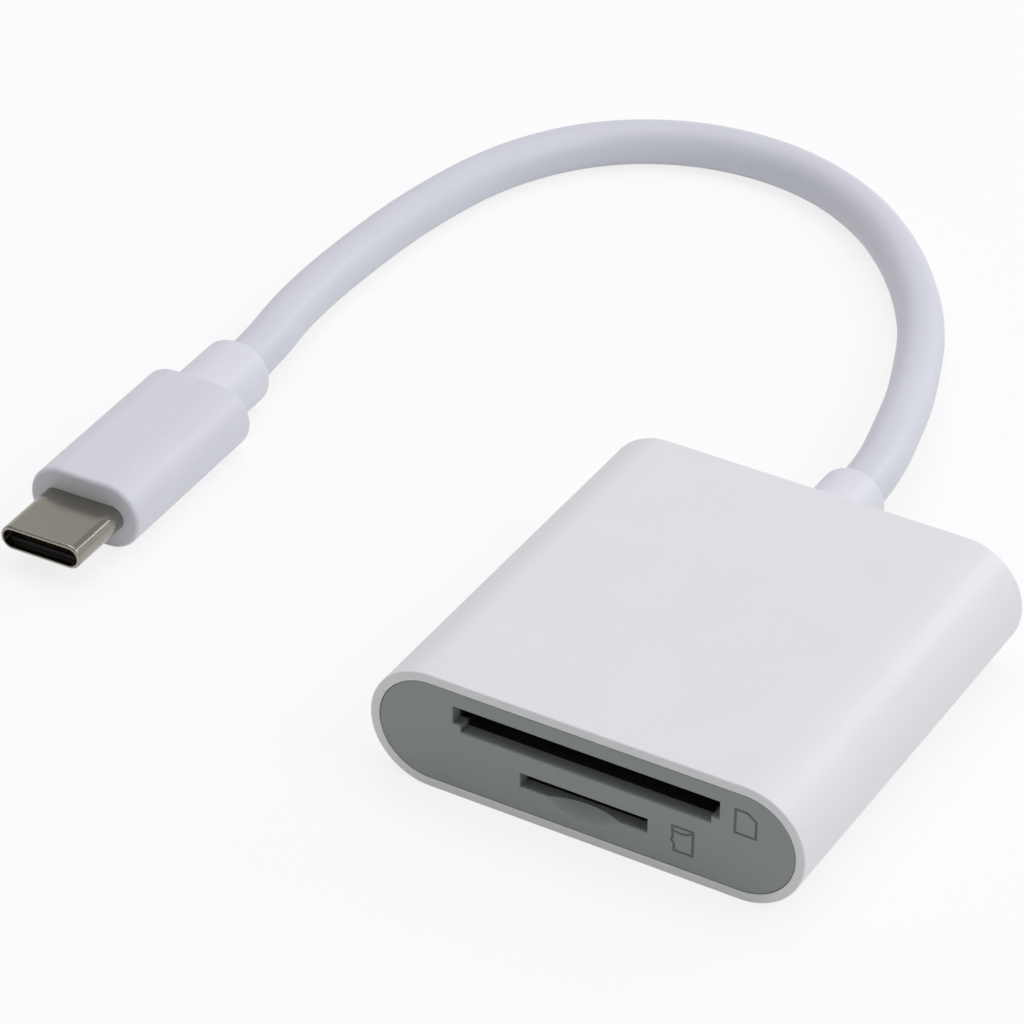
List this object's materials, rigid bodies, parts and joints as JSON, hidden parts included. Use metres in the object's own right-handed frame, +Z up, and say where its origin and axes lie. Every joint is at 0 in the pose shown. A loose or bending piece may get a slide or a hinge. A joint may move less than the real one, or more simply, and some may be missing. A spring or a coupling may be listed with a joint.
{
  "type": "usb-c hub card reader",
  "caption": "Flat white card reader with full-round sides, a recessed grey front with an SD and a microSD slot, and a short captive lead with a USB-C plug.",
  "frame": {"origin": "under the middle of the housing, on the surface that it lies on", "axes": "+Z up, the card slots face -Y, the lead leaves the housing towards +Y, +X is to the right of the slots"},
  "size_m": [0.0853, 0.1056, 0.0113],
  "materials": {
    "white_plastic": "fine matt moulded texture",
    "grey_plastic": "matt moulded texture",
    "board": "solder mask",
    "black_plastic": "matt moulded",
    "contact": "gold plated spring strip",
    "sheet_steel": "thin stamped sheet",
    "chip": "moulded package",
    "capacitor": "ceramic",
    "resistor": "ceramic",
    "soft_white": "soft satin moulding",
    "cable_white": "satin extruded jacket",
    "wire_red": "wire insulation",
    "wire_black": "wire insulation",
    "wire_green": "wire insulation",
    "wire_white": "wire insulation",
    "wire_blue": "pair jacket",
    "wire_orange": "pair jacket",
    "shell_steel": "satin nickel plated steel",
    "inner_mould": "hidden moulding"
  },
  "bodies": {
    "root": {"housing_sleeve": "white_plastic", "front_bezel": "grey_plastic", "circuit_board": "board", "sd_socket_frame": "black_plastic", "sd_socket_contacts": "contact", "sd_socket_cover": "sheet_steel", "microsd_socket_frame": "black_plastic", "microsd_socket_contacts": "contact", "microsd_socket_cover": "sheet_steel", "controller_chip": "chip", "clock_crystal": "sheet_steel", "voltage_regulator": "chip", "capacitors": "capacitor", "resistors": "resistor", "power_wire": "wire_red", "ground_wire": "wire_black", "data_plus_wire": "wire_green", "data_minus_wire": "wire_white", "receive_pair_wire": "wire_blue", "transmit_pair_wire": "wire_orange", "rear_strain_relief": "soft_white", "cable": "cable_white", "plug_strain_relief": "soft_white", "plug_housing": "white_plastic", "plug_inner_mould": "inner_mould", "plug_board": "board", "plug_shell": "shell_steel", "plug_insulator": "black_plastic", "plug_contacts_upper": "contact", "plug_contacts_lower": "contact", "plug_latches": "sheet_steel"}
  },
  "joints": []
}
